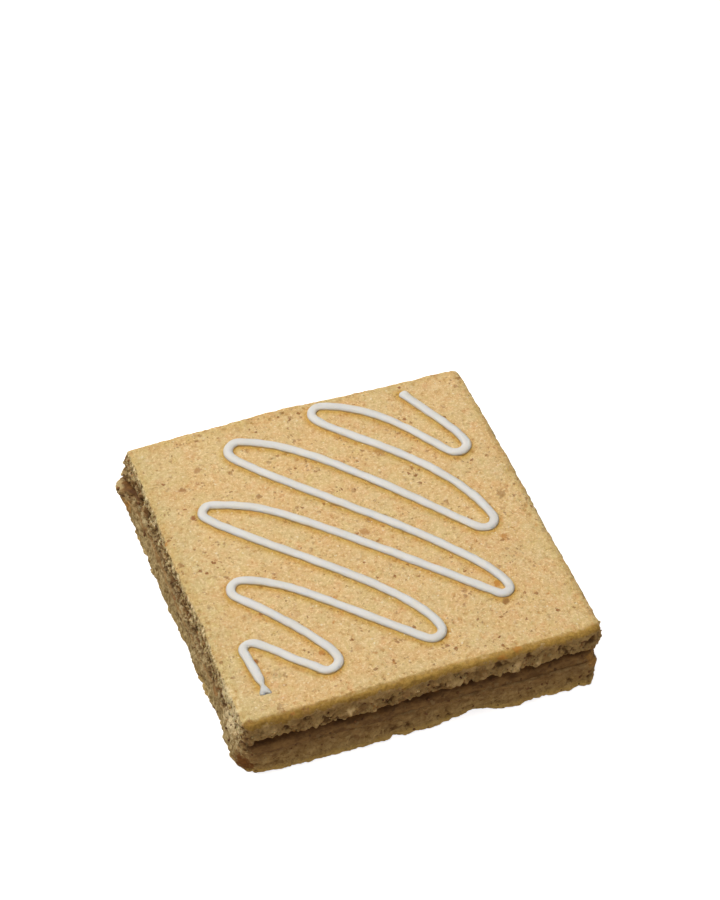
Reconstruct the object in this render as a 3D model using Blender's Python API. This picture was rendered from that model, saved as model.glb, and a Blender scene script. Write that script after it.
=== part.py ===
"""A filled shortbread biscuit: two crumbly nut-flecked squares with a jam filling that shows
all round, and one long zigzag of white icing piped over the top.

The origin is under the middle of the whole, on the table. +Z is up, +Y is the back edge and
+X the right edge.
Sizes are in millimetres until MM turns them into metres.
"""
import math

import bpy
import bmesh
from mathutils import Vector, geometry, noise

MM = 0.001

# ---- Driving sizes -------------------------------------------------------------------------
# Each square: middle of its plan, width along X, depth along Y, then the corner radii and how
# far each corner stands off the true rectangle. Corners start at the back right and go round by
# back left and front left to front right.
TOP_PLAN = {
    "middle": (0.8, 0.15), "width": 65.6, "depth": 69.3, "radii": (1.6, 1.6, 1.8, 2.4),
    "pulls": ((-0.3, 0.0), (0.0, 0.4), (0.0, 0.0), (0.8, 0.0)),
}
FILL_PLAN = {
    "middle": (0.45, -0.4), "width": 65.2, "depth": 68.7, "radii": (2.4, 2.6, 3.2, 2.2),
    "pulls": ((0.0, 0.0), (0.0, 0.3), (0.0, 0.0), (0.3, 0.0)),
}
BASE_PLAN = {
    "middle": (0.35, -0.55), "width": 66.3, "depth": 69.9, "radii": (2.2, 3.0, 3.8, 2.0),
    "pulls": ((0.0, 0.0), (0.0, 0.0), (0.0, 0.3), (0.0, -0.3)),
}
BACK_BOW = {"at": -6.0, "reach": 17.0, "out": 0.8}   # the back edges bulge here

BASE_TOP = 5.4             # the lower square lies from 0 to here
FILL_LOW, FILL_HIGH = 5.7, 7.7
TOP_UNDER, TOP_FACE = 8.0, 13.0
RIM = 1.5                  # radius of the top face's worn edge
STEP, FILL_STEP = 1.25, 2.1   # spacing of the points round a square's side and the filling's
FACE_STEP = 3.6            # spacing of the points on the top face

# Relief of the cut sides: round crumbs, finer grit, and a slow wander of the whole edge.
CRUMB_SIZE, CRUMB_DEPTH = 2.6, 0.9
GRIT_SIZE, GRIT_DEPTH = 1.1, 0.28
WANDER_SIZE, WANDER_DEPTH = 17.0, 0.35
TOP_WAVE = 0.12            # gentle unevenness of the top face
EDGE_JAG = 0.55            # how far the top square's lower edge hangs or is broken away
BASE_TAPER = 0.9           # the lower square's right side leans in by this towards the table
# Where the side stands out or is worn away: place, reach and how far. The first is a lump of
# crumb and filling pushed out at the back left.
BULGES = (
    ((-33.2, 32.4, 6.2), 3.8, 2.8), ((-33.4, 28.0, 1.0), 2.6, -0.5),
    ((-32.6, -13.4, 2.0), 3.0, -0.7), ((-33.6, -28.0, 3.0), 3.6, 0.7),
)
# Nicks broken out of the lower front edge: place along X, half width and depth.
NICKS = ((-4.7, 1.3, 0.6), (10.0, 3.4, 1.1))
NICK_HEIGHT = 3.0          # the nicks fade out by this height

# The piped line. Each row is one hairpin of the zigzag: the centre of its bend, the bend's
# radius, the headings in degrees at which the line comes in and goes out, and how far each
# heading is held before the line swings over to the next bend.
ICING_START, ICING_START_HEADING, ICING_START_REACH = (20.7, 31.0), -69, 4
BENDS = (
    (25.5, 15.0, 2.0, -83, 126, 4, 6),
    (5.0, 30.7, 2.0, 160, -62, 11, 7),
    (23.4, -4.0, 2.1, -80, 128, 17, 24),
    (-12.2, 26.7, 2.3, 160, -64, 10, 7),
    (20.6, -20.4, 1.4, -86, 133, 10, 44),
    (-21.8, 13.8, 1.8, 161, -57, 10, 9),
    (5.4, -25.3, 2.0, -81, 134, 11, 21),
    (-22.1, -5.5, 2.1, 164, -48, 7, 5),
    (-13.9, -25.7, 2.1, -83, 135, 4, 10),
    (-25.3, -19.1, 1.4, 171, -84, 2, 3),
)
ICING_END, ICING_END_HEADING, ICING_END_REACH = (-25.6, -28.8), -90, 3
BEAD_WIDTH, BEAD_HEIGHT, BEAD_SUNK = 1.85, 1.15, 0.4
BEAD_SIDES = 8
RUN_STATIONS, BEND_STATIONS = 13, 8


# ---- Materials -----------------------------------------------------------------------------
def material(name, colour, roughness):
    made = bpy.data.materials.new(name)
    made.use_nodes = True
    shader = made.node_tree.nodes["Principled BSDF"]
    shader.inputs["Base Color"].default_value = (*colour, 1.0)
    shader.inputs["Roughness"].default_value = roughness
    shader.inputs["Metallic"].default_value = 0.0
    made.diffuse_color = (*colour, 1.0)
    return made


# ---- Relief --------------------------------------------------------------------------------
def crumbs(place):
    """Height of the crumbly side at a place: round bumps between pits, and finer grit."""
    near = noise.voronoi(place / CRUMB_SIZE)[0][0]
    grit = noise.noise(place / GRIT_SIZE + Vector((7.0, 3.0, 1.0)))
    return CRUMB_DEPTH * (0.55 - near) + GRIT_DEPTH * grit


def wander(place):
    return WANDER_DEPTH * noise.noise(place / WANDER_SIZE)


def bulges(place):
    """Smooth bulges and hollows that fade out within their reach."""
    return sum(out * math.exp(-((place - Vector(at)).length / reach) ** 2)
               for at, reach, out in BULGES)


# ---- Outlines ------------------------------------------------------------------------------
def pulled(plan, flat):
    """Moves a point of the true rectangle with the corners near it, and with the back's bow."""
    right = (flat.x - plan["middle"][0]) / plan["width"] + 0.5
    back = (flat.y - plan["middle"][1]) / plan["depth"] + 0.5
    shares = (right * back, (1 - right) * back, (1 - right) * (1 - back), right * (1 - back))
    for share, pull in zip(shares, plan["pulls"]):
        flat = flat + share * Vector(pull)
    far = (flat.x - BACK_BOW["at"]) / BACK_BOW["reach"]
    return flat + Vector((0.0, BACK_BOW["out"] * max(back, 0.0) ** 2 * math.exp(-far * far)))


def ring(plan, inset, step):
    """Points and outward normals round a rounded rectangle, the same number at any inset."""
    half_x, half_y = plan["width"] / 2, plan["depth"] / 2
    middle = Vector(plan["middle"])
    points = []
    signs = ((1, 1), (-1, 1), (-1, -1), (1, -1))
    for corner, (sx, sy) in enumerate(signs):
        radius = plan["radii"][corner]
        small = max(radius - inset, 0.3)
        centre = Vector((sx * (half_x - inset - small), sy * (half_y - inset - small)))
        turns = max(2, round(radius * math.pi / 2 / step))
        for k in range(turns + 1):
            angle = math.pi / 2 * (corner + k / turns)
            normal = Vector((math.cos(angle), math.sin(angle)))
            points.append((middle + centre + normal * small, normal))
        # the straight edge to the next corner
        nx, ny = signs[(corner + 1) % 4]
        next_small = max(plan["radii"][(corner + 1) % 4] - inset, 0.3)
        target = Vector((nx * (half_x - inset - next_small), ny * (half_y - inset - next_small)))
        start, end = points[-1][0], middle + target + normal * next_small
        full = plan["depth"] if corner % 2 else plan["width"]
        count = round((full - radius - plan["radii"][(corner + 1) % 4]) / step)
        for k in range(1, count):
            points.append((start.lerp(end, k / count), normal))
    return [(pulled(plan, flat), normal) for flat, normal in points]


def slab(name, plan, profile, shape, colour, face_wave=None, step=STEP):
    """A closed square of biscuit or filling.

    profile lists the rings from the under face up the side to the upper face, as
    (inset, height), and shape moves each point of a ring. An upper face that shows is
    given face_wave, which lifts the points within it; a hidden one is flat.
    """
    mesh = bmesh.new()
    rings = []
    for row, (inset, height) in enumerate(profile):
        row_points = ring(plan, inset, step)
        made = []
        for k, (flat, normal) in enumerate(row_points):
            # every other ring is turned by half a step, so the side's triangles interlock
            if row % 2:
                other, turned = row_points[(k + 1) % len(row_points)]
                flat, normal = (flat + other) / 2, (normal + turned).normalized()
            place = Vector((flat.x, flat.y, height))
            made.append(mesh.verts.new(shape(place, normal.to_3d(), row) * MM))
        rings.append(made)
    for row in range(len(rings) - 1):
        low, high, count = rings[row], rings[row + 1], len(rings[row])
        for k in range(count):
            n = (k + 1) % count
            if row % 2:
                mesh.faces.new((low[k], low[n], high[n]))
                mesh.faces.new((low[k], high[n], high[k]))
            else:
                mesh.faces.new((low[k], low[n], high[k]))
                mesh.faces.new((low[n], high[n], high[k]))
    close(mesh, rings[0], [])
    close(mesh, rings[-1], face_points(plan, profile[-1][1], face_wave) if face_wave else [])
    bmesh.ops.recalc_face_normals(mesh, faces=mesh.faces)
    data = bpy.data.meshes.new(name)
    mesh.to_mesh(data)
    mesh.free()
    piece = bpy.data.objects.new(name, data)
    bpy.context.scene.collection.objects.link(piece)
    data.materials.append(colour)
    data.shade_smooth()
    data.set_sharp_from_angle(angle=math.radians(50))
    return piece


def face_points(plan, height, face_wave):
    """A staggered field of points over a face, clear of its border."""
    reach_x, reach_y = (plan[side] / 2 - RIM - 0.75 * FACE_STEP for side in ("width", "depth"))
    columns, rows = round(2 * reach_x / FACE_STEP), round(2 * reach_y / FACE_STEP)
    for i in range(rows + 1):
        for j in range(columns + (i + 1) % 2):
            x = plan["middle"][0] - reach_x + 2 * reach_x * (j + 0.5 * (i % 2)) / columns
            y = plan["middle"][1] - reach_y + 2 * reach_y * i / rows
            place = pulled(plan, Vector((x, y))).to_3d() + Vector((0, 0, height))
            yield place + Vector((0, 0, face_wave(place)))


def close(mesh, edge, inside):
    """Closes a ring with triangles that also meet the points inside it."""
    verts = list(edge) + [mesh.verts.new(place * MM) for place in inside]
    flat = [vert.co.xy / MM for vert in verts]
    loop = list(range(len(edge)))
    border = [(k, (k + 1) % len(edge)) for k in loop]
    found = geometry.delaunay_2d_cdt(flat, border, [loop], 1, 1e-5)
    for face in found[2]:
        mesh.faces.new([verts[found[3][k][0]] for k in face])


# ---- The two squares and the filling -------------------------------------------------------
def top_wave(place):
    return TOP_WAVE * (noise.noise(place / 9.0) + 0.5 * noise.noise(place / 3.5))


def shape_top(place, normal, row):
    """Rows 0 to 2 are the under face and its ragged lower edge, 3 to 5 the cut side, then the rim."""
    rough = (0.0, 0.5, 1.0, 1.0, 1.0, 0.8, 0.4, 0.0)[row]
    out = rough * (crumbs(place) + 0.5 * bulges(place)) + wander(place)
    lift = 0.0
    if row in (1, 2):
        lift = EDGE_JAG * (noise.noise(place / 2.3 + Vector((0, 9, 0))) - 0.15) * rough
    if row >= 6:
        lift = top_wave(place)
    return place + normal * out + Vector((0, 0, lift))


def shape_fill(place, normal, row):
    side = (0.4, 0.9, 1.0, 0.9, 0.5)[row]
    out = wander(place) + side * (0.35 * noise.noise(place / 4.0) + bulges(place))
    return place + normal * out


def nicks(place, normal):
    """How far the lower front edge is broken away at a place."""
    broken = sum(deep * math.exp(-((place.x - x) / half) ** 2) for x, half, deep in NICKS)
    return broken * max(-normal.y, 0.0) * max(1.0 - place.z / NICK_HEIGHT, 0.0)


def shape_base(place, normal, row):
    """Row 0 is the flat underside, row 1 its broken edge, then the cut side and the upper face."""
    rough = (0.0, 0.75, 0.9, 0.8, 0.7, 0.6, 0.4)[row]
    out = rough * crumbs(place) + max(rough, 0.7) * bulges(place) + wander(place)
    lean = BASE_TAPER * max(normal.x, 0.0) * (1.0 - place.z / BASE_TOP)
    lift = 0.0
    if row == 1:
        lift = max(0.0, 0.5 * noise.noise(place / 3.0))
    return place + normal * (out - lean - nicks(place, normal)) + Vector((0, 0, lift))


def make_top(colour):
    diagonal = RIM * (1 - math.sqrt(0.5))
    profile = (
        (1.5, TOP_UNDER), (0.6, TOP_UNDER), (0.25, TOP_UNDER + 0.15), (0.0, TOP_UNDER + 1.3),
        (0.0, TOP_UNDER + 2.4), (0.0, TOP_FACE - RIM), (diagonal, TOP_FACE - diagonal),
        (RIM, TOP_FACE),
    )
    return slab("top_biscuit", TOP_PLAN, profile, shape_top, colour, top_wave)


def make_filling(colour):
    middle = (FILL_LOW + FILL_HIGH) / 2
    profile = (
        (0.3, FILL_LOW), (0.05, FILL_LOW + 0.25), (0.2, middle), (0.6, FILL_HIGH - 0.3),
        (1.0, FILL_HIGH),
    )
    return slab("filling", FILL_PLAN, profile, shape_fill, colour, step=FILL_STEP)


def make_base(colour):
    profile = (
        (1.7, 0.0), (0.3, 0.0), (0.1, 1.0), (0.0, 2.2), (0.1, 3.5), (0.35, 4.8), (0.7, BASE_TOP),
    )
    return slab("bottom_biscuit", BASE_PLAN, profile, shape_base, colour)


# ---- The icing -----------------------------------------------------------------------------
def heading(degrees):
    return Vector((math.cos(math.radians(degrees)), math.sin(math.radians(degrees))))


def swing(start, out, out_reach, end, into, in_reach, count):
    """Points on the line from one bend to the next, without its last one."""
    first, last = start + heading(out) * out_reach, end - heading(into) * in_reach
    for k in range(count):
        t = k / count
        yield (start * (1 - t) ** 3 + first * 3 * t * (1 - t) ** 2
               + last * 3 * t * t * (1 - t) + end * t ** 3)


def icing_path(run_count, bend_count):
    """The piped line in plan; bends turn right and left by turns."""
    points = []
    here, out, out_reach = Vector(ICING_START), ICING_START_HEADING, ICING_START_REACH
    for row, (x, y, radius, into, leave, in_reach, leave_reach) in enumerate(BENDS):
        turn = 1 if row % 2 else -1
        centre = Vector((x, y))
        enter = centre + heading(into - 90 * turn) * radius
        points.extend(swing(here, out, out_reach, enter, into, in_reach, run_count))
        sweep = ((leave - into) * turn) % 360
        for k in range(bend_count):
            angle = into - 90 * turn + turn * sweep * k / bend_count
            points.append(centre + heading(angle) * radius)
        here = centre + heading(leave - 90 * turn) * radius
        out, out_reach = leave, leave_reach
    end = Vector(ICING_END)
    points.extend(swing(here, out, out_reach, end, ICING_END_HEADING, ICING_END_REACH, run_count))
    points.append(end)
    return points


def bead_scale(travel, total, place):
    """Width of the bead along its length: a blunt start, a slow unevenness and a thin tail."""
    start = 0.55 + 0.65 * min(travel / 0.9, 1.0) - 0.2 * min(max(travel - 0.9, 0.0) / 2.5, 1.0)
    tail = 0.45 + 0.55 * min((total - travel) / 6.0, 1.0)
    return start * tail * (1.0 + 0.07 * noise.noise(place.to_3d() / 4.0))


def make_icing(colour):
    path = icing_path(RUN_STATIONS, BEND_STATIONS)
    mesh = bmesh.new()
    total = sum((b - a).length for a, b in zip(path, path[1:]))
    travel, rings = 0.0, []
    for k, here in enumerate(path):
        before, after = path[max(k - 1, 0)], path[min(k + 1, len(path) - 1)]
        if k:
            travel += (here - before).length
        along = (after - before).normalized()
        across = Vector((-along.y, along.x, 0.0))
        size = bead_scale(travel, total, here)
        base = Vector((here.x, here.y, TOP_FACE + top_wave(Vector((here.x, here.y, TOP_FACE)))))
        middle, half_high = (BEAD_HEIGHT - BEAD_SUNK) / 2, (BEAD_HEIGHT + BEAD_SUNK) / 2
        made = []
        for side in range(BEAD_SIDES):
            angle = 2 * math.pi * side / BEAD_SIDES
            wide = across * (BEAD_WIDTH / 2 * size * math.cos(angle))
            high = middle + half_high * size * math.sin(angle)
            made.append(mesh.verts.new((base + wide + Vector((0, 0, high))) * MM))
        rings.append(made)
    for low, high in zip(rings, rings[1:]):
        for side in range(BEAD_SIDES):
            n = (side + 1) % BEAD_SIDES
            mesh.faces.new((low[side], low[n], high[n], high[side]))
    mesh.faces.new(reversed(rings[0]))
    mesh.faces.new(rings[-1])
    bmesh.ops.recalc_face_normals(mesh, faces=mesh.faces)
    data = bpy.data.meshes.new("icing")
    mesh.to_mesh(data)
    mesh.free()
    data.materials.append(colour)
    data.shade_smooth()
    return bpy.data.objects.new("icing", data)


def fuse(body, toppings, name):
    """Joins the toppings to the body with one Boolean, then removes them."""
    group = bpy.data.collections.new(name)
    bpy.context.scene.collection.children.link(group)
    for topping in toppings:
        group.objects.link(topping)
    union = body.modifiers.new("union", "BOOLEAN")
    union.operation = "UNION"
    union.solver = "EXACT"
    union.operand_type = "COLLECTION"
    union.collection = group
    union.material_mode = "TRANSFER"
    bpy.context.view_layer.objects.active = body
    with bpy.context.temp_override(object=body, active_object=body, selected_objects=[body]):
        bpy.ops.object.modifier_apply(modifier=union.name)
    for topping in toppings:
        bpy.data.objects.remove(topping)
    bpy.data.collections.remove(group)


def clear():
    for thing in list(bpy.data.objects):
        bpy.data.objects.remove(thing)


def main():
    clear()
    crust = material("shortbread_top", (0.64, 0.45, 0.2), 0.85)
    jam = material("jam_filling", (0.2, 0.09, 0.02), 0.45)
    crumb = material("shortbread_base", (0.5, 0.37, 0.17), 0.9)
    sugar = material("icing_white", (0.78, 0.74, 0.66), 0.5)
    make_base(crumb)
    make_filling(jam)
    top = make_top(crust)
    fuse(top, [make_icing(sugar)], "toppings")


main()
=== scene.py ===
"""The looks of a filled shortbread biscuit: crumb, jam, piped icing, floor, light and camera.

Shapes are worked out in millimetres from the same named sizes as the solids, and turned into
metres when a mesh is made. Each side carries its relief as a mesh attribute, so that pits can
be painted darker, as shade, and crumbs painted paler, as light.
"""
import math
import random

import bpy
import bmesh
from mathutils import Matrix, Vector, kdtree, noise


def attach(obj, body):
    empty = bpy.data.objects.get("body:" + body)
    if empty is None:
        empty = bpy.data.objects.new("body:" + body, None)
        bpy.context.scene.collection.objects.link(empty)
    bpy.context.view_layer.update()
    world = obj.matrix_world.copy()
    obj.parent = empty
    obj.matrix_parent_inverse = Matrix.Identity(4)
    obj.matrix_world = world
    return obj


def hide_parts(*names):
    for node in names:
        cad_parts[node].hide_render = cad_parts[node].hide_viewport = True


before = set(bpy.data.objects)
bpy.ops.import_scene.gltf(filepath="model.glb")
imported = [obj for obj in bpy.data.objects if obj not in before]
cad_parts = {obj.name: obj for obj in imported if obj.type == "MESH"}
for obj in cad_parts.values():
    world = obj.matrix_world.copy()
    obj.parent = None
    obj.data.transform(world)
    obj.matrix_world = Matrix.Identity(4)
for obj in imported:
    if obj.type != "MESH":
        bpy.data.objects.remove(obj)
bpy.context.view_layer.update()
NOISE_SEED, CRUMB_SEED, NUT_SEED = 3, 3, 5
noise.seed_set(NOISE_SEED)      # without a seed, noise_vector differs from run to run

MM = 0.001
BODY = "root"

# ---- Sizes of the squares, as in the solids ---------------------------------------------------
# The radii and the pulls run from the back right corner, counterclockwise.
TOP_PLAN = {
    "middle": (0.8, 0.15), "width": 65.6, "depth": 69.3, "radii": (1.6, 0.9, 1.8, 2.4),
    "pulls": ((-0.3, 0.0), (0.0, 0.2), (0.0, 0.0), (0.8, 0.0)),
}
FILL_PLAN = {
    "middle": (0.45, -0.4), "width": 65.2, "depth": 68.7, "radii": (2.4, 2.6, 3.2, 2.2),
    "pulls": ((0.0, 0.0), (0.0, 0.3), (0.0, 0.0), (0.3, 0.0)),
}
BASE_PLAN = {
    "middle": (0.35, -0.55), "width": 66.3, "depth": 69.9, "radii": (2.2, 3.0, 3.8, 2.0),
    "pulls": ((0.0, 0.0), (0.0, 0.0), (0.0, 0.3), (0.0, -0.3)),
}
BACK_BOW = {"at": -6.0, "reach": 17.0, "out": 0.8}
BASE_TOP = 5.4
TOP_UNDER, TOP_FACE = 8.0, 13.0
RIM = 1.35
RIM_REACH = 3.0                 # how far the rim's colour reaches over the face

CRUMB_SIZE, CRUMB_DEPTH = 2.6, 0.9
GRIT_SIZE, GRIT_DEPTH = 1.1, 0.28
WANDER_SIZE, WANDER_DEPTH = 17.0, 0.35
TOP_WAVE = 0.12
EDGE_JAG = 0.55
BASE_TAPER = 0.9
# Bulges, wear and marks: place, reach and how far each stands out.
BULGES = (
    ((-33.2, 32.4, 6.2), 3.8, 2.8), ((-33.4, 28.0, 1.0), 2.6, -0.5),
    ((-32.6, -13.4, 2.0), 3.0, -0.7), ((-33.6, -28.0, 3.0), 3.6, 0.7),
)
# Pieces broken off the lower front edge: x, half width and depth.
NICKS = ((-4.7, 1.3, 0.6), (10.0, 3.4, 1.1))
NICK_HEIGHT = 3.0

# ---- Detail that only the looks carry ---------------------------------------------------------
FACE_STEP, BASE_STEP, JAM_STEP = 0.27, 0.2, 0.3     # spacing of the points
SHAKE, CRUMB_SHAKE, LUMP_SHAKE = 0.8, 1.9, 1.3      # how far and how finely the cells are shaken
LUMP_SIZE, LUMP_DEPTH = 1.3, 0.4
GAP_SHARE, GAP_DEPTH = 0.25, 0.25                   # the cracks between lumps
GRAIN_SIZE, GRAIN_DEPTH = 0.55, 0.16
PIT_SIZE, PIT_DEPTH, PIT_SHARE, PIT_REACH = 2.1, 0.5, 0.22, 0.36        # sparse deep holes
PORE_SIZE, PORE_DEPTH, PORE_SHARE, PORE_REACH = 1.5, 0.18, 0.35, 0.4    # pores of the face
FINE_JAG, BASE_JAG = 0.6, 0.45
RELIEF_SPAN = 1.1               # from the deepest pit to the highest lump
MARK_FADE = 2.5                 # a mark ends at so many times its reach
# Single lumps and holes, first along the front and then along the left.
MARKS = (
    ((-27.8, -34.5, 10.2), 1.2, 0.8), ((-20.7, -34.5, 8.8), 1.1, 0.8),
    ((-13.1, -34.5, 9.9), 1.1, 0.7), ((-1.5, -34.5, 10.2), 1.1, 0.7),
    ((6.8, -34.5, 9.0), 1.5, 0.8), ((17.9, -34.5, 9.3), 1.2, 0.8),
    ((21.9, -34.5, 9.1), 1.2, 0.8), ((12.0, -34.5, 9.4), 0.9, 0.4),
    ((-9.0, -34.5, 9.2), 1.1, 0.4), ((14.6, -34.8, 11.4), 0.8, -0.7),
    ((19.7, -34.8, 11.2), 0.8, -0.8), ((-24.3, -34.6, 9.4), 1.2, -0.6),
    ((-17.0, -34.6, 9.2), 0.9, -0.6), ((3.0, -34.6, 9.0), 0.9, -0.7),
    ((-5.5, -34.6, 9.3), 0.9, -0.5),
    ((-32.0, 25.5, 8.9), 0.8, -1.2), ((-32.0, 20.9, 9.4), 0.7, -1.1),
    ((-32.0, 16.4, 9.1), 0.9, -1.0), ((-32.0, 10.2, 9.8), 0.7, -0.9),
    ((-32.0, 1.2, 9.8), 0.9, -1.2), ((-32.0, -2.4, 9.2), 0.7, -1.0),
    ((-32.0, -7.5, 9.6), 0.8, -0.9), ((-32.0, -12.3, 10.6), 0.8, -1.1),
    ((-32.0, -17.0, 9.4), 0.7, -0.9), ((-32.0, 22.8, 8.9), 0.8, 0.5),
    ((-32.0, 13.4, 9.2), 0.8, 0.5), ((-32.0, -24.6, 10.4), 0.9, 0.4),
)
# Slow bulges of the lower square's left and front sides, and its rubbed front left corner.
BASE_WEAR = (
    ((-33.2, 26.5, 2.5), 5.0, 0.5), ((-33.2, 14.0, 2.0), 9.0, 0.4),
    ((-33.0, -12.0, 2.0), 5.0, 0.3), ((-33.2, -20.5, 2.0), 5.0, -0.35),
    ((-32.6, -35.4, 0.2), 2.6, -1.1), ((-21.0, -35.5, 0.5), 4.0, 0.35),
    ((17.5, -35.5, 0.5), 3.0, 0.5),
)

# ---- The piped line, as in the solids ---------------------------------------------------------
ICING_SHIFT = (0.15, 0.42)      # makes up for this bead being lower than the solids' one
ICING_START, ICING_START_HEADING, ICING_START_REACH = (20.7, 31.0), -69, 4
# Each bend: centre, radius, headings in and out in degrees, and the reach of the curve into it
# and out of it.
BENDS = (
    (25.5, 15.0, 2.0, -83, 126, 4, 6),
    (5.0, 30.7, 2.0, 160, -62, 11, 7),
    (23.4, -4.0, 2.1, -80, 128, 17, 24),
    (-12.2, 26.7, 2.3, 160, -64, 10, 7),
    (20.6, -20.4, 1.4, -86, 133, 10, 44),
    (-21.8, 13.8, 1.8, 161, -57, 10, 9),
    (5.4, -25.3, 2.0, -81, 134, 11, 21),
    (-22.4, -5.5, 2.1, 164, -48, 7, 5),
    (-13.9, -25.7, 2.1, -83, 135, 4, 10),
    (-25.3, -19.1, 1.4, 171, -84, 2, 3),
)
ICING_END, ICING_END_HEADING, ICING_END_REACH = (-26.0, -29.2), -94, 3
RUN_STATIONS, BEND_STATIONS = 90, 26
BEAD_SIDES = 24
BEAD_WIDTH, BEAD_HEIGHT, BEAD_SUNK = 1.75, 0.72, 0.3
BEAD_SIDE_POWER, BEAD_CROWN_POWER = 0.95, 0.85      # below 1 the bead's section is fuller
BEAD_SWAY, SWAY_SIZE = 0.1, 2.2                     # how far the line sways, and how slowly
START_ROUND, START_SWELL, SWELL_REACH = 0.7, 0.15, 3.0
# The torn end: it narrows to a neck, flares, thins and splits.
NECK_DEPTH, NECK_AT, NECK_REACH, TAIL_ROUND = 0.42, 2.0, 0.9, 0.25
TAIL_REACH, TAIL_FLARE, TAIL_THIN, TAIL_NOTCH = 1.8, 0.35, 0.7, 0.3
# The piped line's painted warm shadow on the face, mostly in front of the line and none at the torn
# end: its reach, its shift and the stations at the end left without it.
ICING_SHADOW_REACH, ICING_SHADOW_SHIFT, UNSHADOWED_END_STATIONS = 1.0, (0.17, 0.47), 22

# ---- Colours ----------------------------------------------------------------------------------
FACE = (0.655, 0.475, 0.225)
FACE_WARM = (0.68, 0.445, 0.20)
# the rim's skin as seen in shade; used only where the rim faces the front
RIM_SKIN_IN_SHADE = (0.50, 0.30, 0.07)
CRUMB = (0.50, 0.385, 0.19)
JAM = (0.24, 0.125, 0.042)
ICING = (0.73, 0.69, 0.64)
NUT_SKIN = (0.25, 0.08, 0.02)
NUT_BIT = (0.16, 0.075, 0.03)
PALE = (0.80, 0.65, 0.38)
ORANGE = (0.50, 0.22, 0.04)

# Patches of another colour: place, radius, colour and strength.
SIDE_PATCHES = (
    ((-34.2, 29.3, 4.0), 2.1, (0.42, 0.20, 0.045), 0.8),
    ((-32.4, -19.3, 5.6), 1.4, (0.36, 0.18, 0.06), 0.5),
    ((-32.4, -23.6, 7.4), 1.6, (0.36, 0.19, 0.06), 0.6),
    ((-31.8, -33.0, 2.2), 2.6, (0.20, 0.075, 0.016), 0.95),
    ((32.2, -35.2, 6.2), 1.8, (0.52, 0.26, 0.06), 0.7),
    ((-32.5, -27.0, 9.2), 5.0, PALE, 0.85),
    ((-34.6, 33.0, 7.0), 2.0, (0.52, 0.38, 0.18), 0.85),
    ((-35.0, 33.4, 8.2), 1.0, (0.60, 0.52, 0.34), 0.8),
)
FACE_PATCHES = (
    ((20.1, -18.7, TOP_FACE), 1.1, ORANGE, 0.9),
    ((25.6, -8.7, TOP_FACE), 0.9, (0.50, 0.22, 0.05), 0.8),
    ((12.1, 18.3, TOP_FACE), 1.2, (0.36, 0.18, 0.06), 0.6),
    ((2.6, 0.8, TOP_FACE), 1.1, (0.42, 0.18, 0.05), 0.65),
    ((29.1, 1.3, TOP_FACE), 1.2, (0.33, 0.17, 0.06), 0.6),
    ((-24.9, 21.4, TOP_FACE), 0.8, (0.33, 0.15, 0.05), 0.8),
    ((-25.2, 14.4, TOP_FACE), 0.6, (0.26, 0.07, 0.02), 0.8),
    ((-21.0, 25.2, TOP_FACE), 0.9, (0.40, 0.19, 0.07), 0.7),
    ((-30.6, 4.2, TOP_FACE), 0.7, (0.34, 0.17, 0.06), 0.8),
    ((-25.3, -21.3, TOP_FACE), 0.7, (0.28, 0.09, 0.02), 0.85),
    ((-14.0, -23.2, TOP_FACE), 0.7, (0.45, 0.18, 0.04), 0.8),
    ((20.3, -22.9, TOP_FACE), 0.7, (0.26, 0.11, 0.03), 0.8),
    ((18.2, -33.7, 12.9), 0.8, ORANGE, 0.9),
    ((15.1, -34.6, 12.4), 0.9, ORANGE, 0.8),
)
# A patch's border, in radii: how ragged it is, and where it starts and ends.
PATCH_RAG, PATCH_OUTER, PATCH_INNER = 3.0, 2.55, 1.95

# Flecks: size of the cells, share of them that hold one, colour, seed and strength.
FACE_FLECKS = (
    (1.0, 0.20, NUT_SKIN, 1.0, 0.85), (0.6, 0.24, (0.28, 0.13, 0.045), 4.0, 0.85),
    (1.5, 0.09, (0.27, 0.115, 0.035), 8.0, 0.75), (1.1, 0.07, (0.50, 0.21, 0.05), 13.0, 0.75),
    (2.6, 0.18, (0.52, 0.29, 0.12), 21.0, 0.4),
)
PALE_FLECKS = ((0.55, 0.08, (0.80, 0.70, 0.48), 30.0, 0.7),)
BASE_FLECKS = (
    (0.9, 0.16, (0.12, 0.04, 0.012), 2.0, 0.85), (1.6, 0.10, (0.13, 0.055, 0.015), 9.0, 0.8),
    (1.2, 0.06, (0.26, 0.12, 0.045), 6.0, 0.6), (1.5, 0.08, (0.44, 0.31, 0.15), 15.0, 0.5),
)
JAM_FLECKS = ((1.3, 0.3, (0.33, 0.21, 0.09), 3.0, 0.6), (0.9, 0.2, (0.09, 0.04, 0.012), 12.0, 0.85))

# Streaks of smeared filling, per metre along each axis: long along the layers, thin across them.
STREAKS = (480.0, 480.0, 1250.0)

MIX_FIRST, MIX_SECOND, MIX_RESULT = 6, 7, 2         # the Mix node's colour sockets


def scaled(colour, factors):
    if not isinstance(factors, tuple):
        factors = (factors,) * 3
    return tuple(min(c * f, 1.0) for c, f in zip(colour, factors))


def clamped(value):
    return min(max(value, 0.0), 1.0)


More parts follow.
